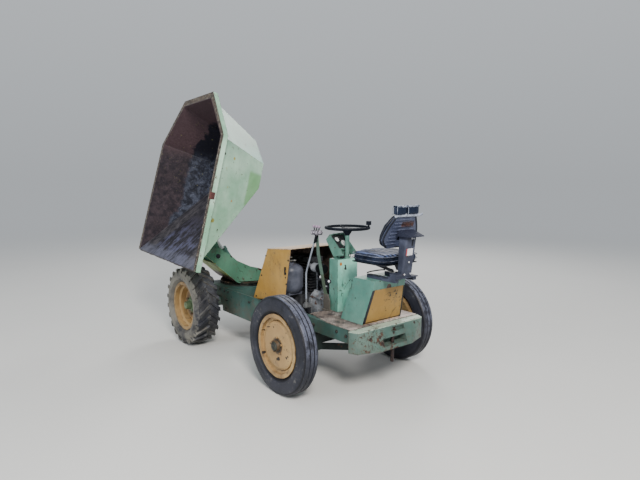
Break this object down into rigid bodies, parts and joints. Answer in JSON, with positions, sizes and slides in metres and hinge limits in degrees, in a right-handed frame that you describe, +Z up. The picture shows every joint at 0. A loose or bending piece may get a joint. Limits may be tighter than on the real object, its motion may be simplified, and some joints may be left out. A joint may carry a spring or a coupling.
{
  "type": "site dumper",
  "caption": "Small four-wheel construction dumper with a hexagonal skip that swivels and tips at the front, an open engine, a driver's seat and rear-wheel steering.",
  "frame": {"origin": "on the ground, below the middle of the machine's bounding box", "axes": "+X forward, from the rear axle to the front axle; +Y to the driver's left; +Z up"},
  "size_m": [3.0837, 1.6371, 2.3051],
  "materials": {
    "green_paint": "worn green paint with rust and chips",
    "tan_paint": "tan paint, dirty",
    "brown_deck": "rusty chequered plate",
    "dark_steel": "black painted steel, greasy",
    "chrome": "polished rod",
    "cast_engine": "grey cast metal, oily",
    "grey_tank": "grey paint",
    "silver_cleaner": "dull silver",
    "seat_vinyl": "dark blue grey vinyl, worn",
    "black_plastic": "black plastic",
    "tyre_rubber": "worn rubber with dried mud"
  },
  "bodies": {
    "chassis": {"frame_side_left": "green_paint", "frame_side_right": "green_paint", "front_platform": "green_paint", "rear_crossmember": "green_paint", "footplate": "brown_deck", "counterweight": "green_paint", "tow_pin": "dark_steel", "slew_ring": "green_paint", "front_axle": "green_paint", "rear_axle": "green_paint", "axle_brace_left": "green_paint", "axle_brace_right": "green_paint", "bonnet_left": "tan_paint", "bonnet_right": "tan_paint", "bonnet_top": "tan_paint", "bonnet_front": "tan_paint", "engine": "cast_engine", "bonnet_bearer": "green_paint", "engine_bearer": "green_paint", "fuel_tank": "grey_tank", "air_cleaner": "silver_cleaner", "gearbox": "cast_engine", "gear_lever": "dark_steel", "spool_valve": "green_paint", "column_box": "green_paint", "instrument_box": "green_paint", "steering_column": "green_paint", "seat_box": "green_paint", "seat_box_door": "tan_paint", "seat_base": "dark_steel", "seat_pan": "dark_steel", "seat_cushion": "seat_vinyl", "seat_back_pad": "seat_vinyl", "seat_back_shell": "black_plastic", "seat_headrest": "seat_vinyl"},
    "carrier": {"skip_carrier": "green_paint", "skip_pivot_pin": "dark_steel"},
    "skip": {"skip_side_left": "green_paint", "skip_side_right": "green_paint", "skip_chute": "green_paint", "skip_floor": "green_paint", "skip_back": "green_paint", "skip_rim": "green_paint", "skip_hinge": "green_paint"},
    "ram_barrel": {"tip_ram_barrel": "dark_steel"},
    "ram_rod": {"tip_ram_rod": "chrome"},
    "knuckle_left": {"knuckle_left": "green_paint"},
    "knuckle_right": {"knuckle_right": "green_paint"},
    "track_rod": {"track_rod": "dark_steel"},
    "steering_wheel": {"steering_wheel": "black_plastic"},
    "wheel_front_left": {"tyre_front_left": "tyre_rubber", "wheel_front_left": "tan_paint"},
    "wheel_front_right": {"tyre_front_right": "tyre_rubber", "wheel_front_right": "tan_paint"},
    "wheel_rear_left": {"tyre_rear_left": "tyre_rubber", "wheel_rear_left": "tan_paint"},
    "wheel_rear_right": {"tyre_rear_right": "tyre_rubber", "wheel_rear_right": "tan_paint"}
  },
  "joints": [
    {"name": "slew", "type": "hinge", "parent": "chassis", "child": "carrier", "pos_m": [0.649, -0.1, 0.537], "axis": [0, 0, 1], "range_deg": [-175.1, 4.9]},
    {"name": "tip", "type": "hinge", "parent": "carrier", "child": "skip", "pos_m": [0.68325, 0.29953, 0.832], "axis": [-0.9963, 0.0854, 0], "range_deg": [-65.8, 2]},
    {"name": "ram_swing", "type": "hinge", "parent": "carrier", "child": "ram_barrel", "pos_m": [0.65754, -0.00036, 0.615], "axis": [-0.9963, 0.0854, 0], "range_deg": [-28, 4]},
    {"name": "ram_slide", "type": "slide", "parent": "ram_barrel", "child": "ram_rod", "axis": [0.0467, 0.5452, 0.837], "range_m": [-0.2385, 0.012]},
    {"name": "steer_left", "type": "hinge", "parent": "chassis", "child": "knuckle_left", "pos_m": [-0.84, 0.37, 0.36], "axis": [0, 0, 1], "range_deg": [-28, 28]},
    {"name": "steer_right", "type": "hinge", "parent": "chassis", "child": "knuckle_right", "pos_m": [-0.84, -0.57, 0.36], "axis": [0, 0, 1], "range_deg": [-28, 28]},
    {"name": "track_rod_swing", "type": "hinge", "parent": "knuckle_left", "child": "track_rod", "pos_m": [-0.71, 0.37, 0.28], "axis": [0, 0, 1], "range_deg": [-28, 28]},
    {"name": "steering_wheel_turn", "type": "hinge", "parent": "chassis", "child": "steering_wheel", "pos_m": [-0.852, -0.109, 1.15], "axis": [0, 0, 1], "range_deg": [-420, 420]},
    {"name": "wheel_front_left_spin", "type": "hinge", "parent": "chassis", "child": "wheel_front_left", "pos_m": [0.649, 0.501, 0.366], "axis": [0, 1, 0], "continuous": true},
    {"name": "wheel_front_right_spin", "type": "hinge", "parent": "chassis", "child": "wheel_front_right", "pos_m": [0.649, -0.701, 0.366], "axis": [0, 1, 0], "continuous": true},
    {"name": "wheel_rear_left_spin", "type": "hinge", "parent": "knuckle_left", "child": "wheel_rear_left", "pos_m": [-0.84, 0.509, 0.36], "axis": [0, 1, 0], "continuous": true},
    {"name": "wheel_rear_right_spin", "type": "hinge", "parent": "knuckle_right", "child": "wheel_rear_right", "pos_m": [-0.84, -0.709, 0.36], "axis": [0, 1, 0], "continuous": true}
  ],
  "couplings": [
    {"joint": "ram_swing", "follows": "tip", "ratio": 0.36022},
    {"joint": "ram_slide", "follows": "tip", "m_per_rad": 0.20422},
    {"joint": "steer_right", "follows": "steer_left", "ratio": 1},
    {"joint": "track_rod_swing", "follows": "steer_left", "ratio": -1},
    {"joint": "steering_wheel_turn", "follows": "steer_left", "ratio": 14}
  ]
}
